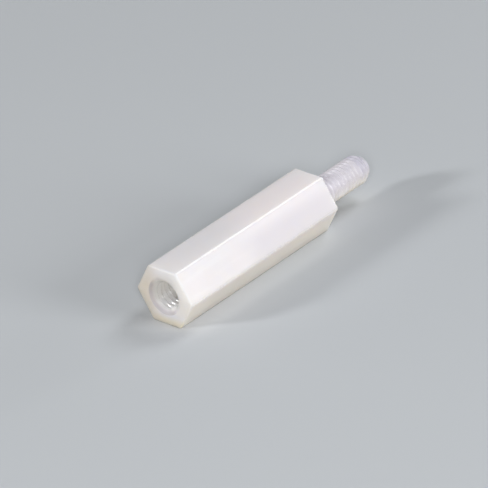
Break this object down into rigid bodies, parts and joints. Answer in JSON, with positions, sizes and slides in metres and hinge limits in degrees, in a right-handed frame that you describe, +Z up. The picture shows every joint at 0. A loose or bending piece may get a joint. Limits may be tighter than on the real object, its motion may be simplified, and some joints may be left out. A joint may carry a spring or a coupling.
{
  "type": "hex standoff",
  "caption": "Hexagonal moulded standoff with a threaded hole in one end and a threaded stud on the other, which holds boards and panels a set distance apart.",
  "frame": {"origin": "on the standoff's axis, in the plane of the end face that holds the threaded hole", "axes": "+X along the standoff's axis from the threaded hole to the stud, +Z up and square to the flat that it lies on, two of the long edges at +Y and -Y"},
  "size_m": [0.027, 0.0062, 0.0056],
  "materials": {
    "nylon": "natural moulded nylon: off-white, satin and slightly translucent"
  },
  "bodies": {
    "root": {"standoff": "nylon"}
  },
  "joints": []
}
